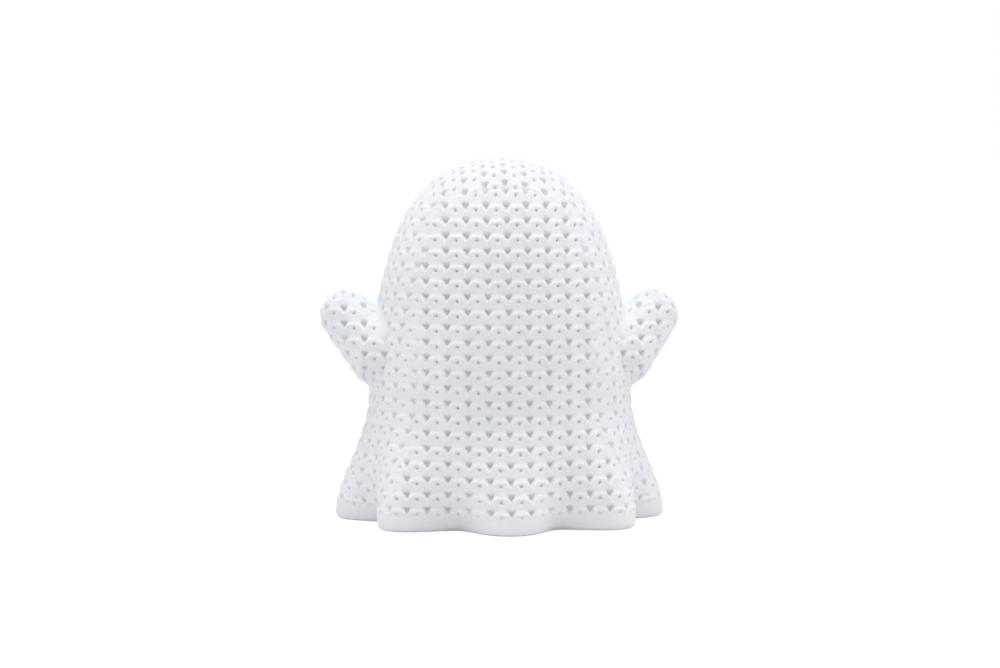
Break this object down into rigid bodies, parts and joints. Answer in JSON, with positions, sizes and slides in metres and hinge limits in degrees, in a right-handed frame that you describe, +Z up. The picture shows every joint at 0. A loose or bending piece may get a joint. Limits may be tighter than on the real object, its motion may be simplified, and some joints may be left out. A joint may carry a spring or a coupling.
{
  "type": "ghost figurine",
  "caption": "White knit-textured ghost decoration: hollow draped shell with a fluted skirt, stubby raised arms that plug in, and oval eye inlays.",
  "frame": {"origin": "on the table under the middle of the shell", "axes": "+Z up, +Y the way the face looks, +X to the right of the picture, which looks along +Y at the ghost's back; right_arm is on +X and left_arm on -X"},
  "size_m": [0.0796, 0.0696, 0.08],
  "materials": {
    "knit_white": "matte, cool white, moulded knit relief",
    "eye_black": "satin black"
  },
  "bodies": {
    "root": {"body_shell": "knit_white", "left_arm": "knit_white", "right_arm": "knit_white", "left_eye": "eye_black", "right_eye": "eye_black"}
  },
  "joints": []
}
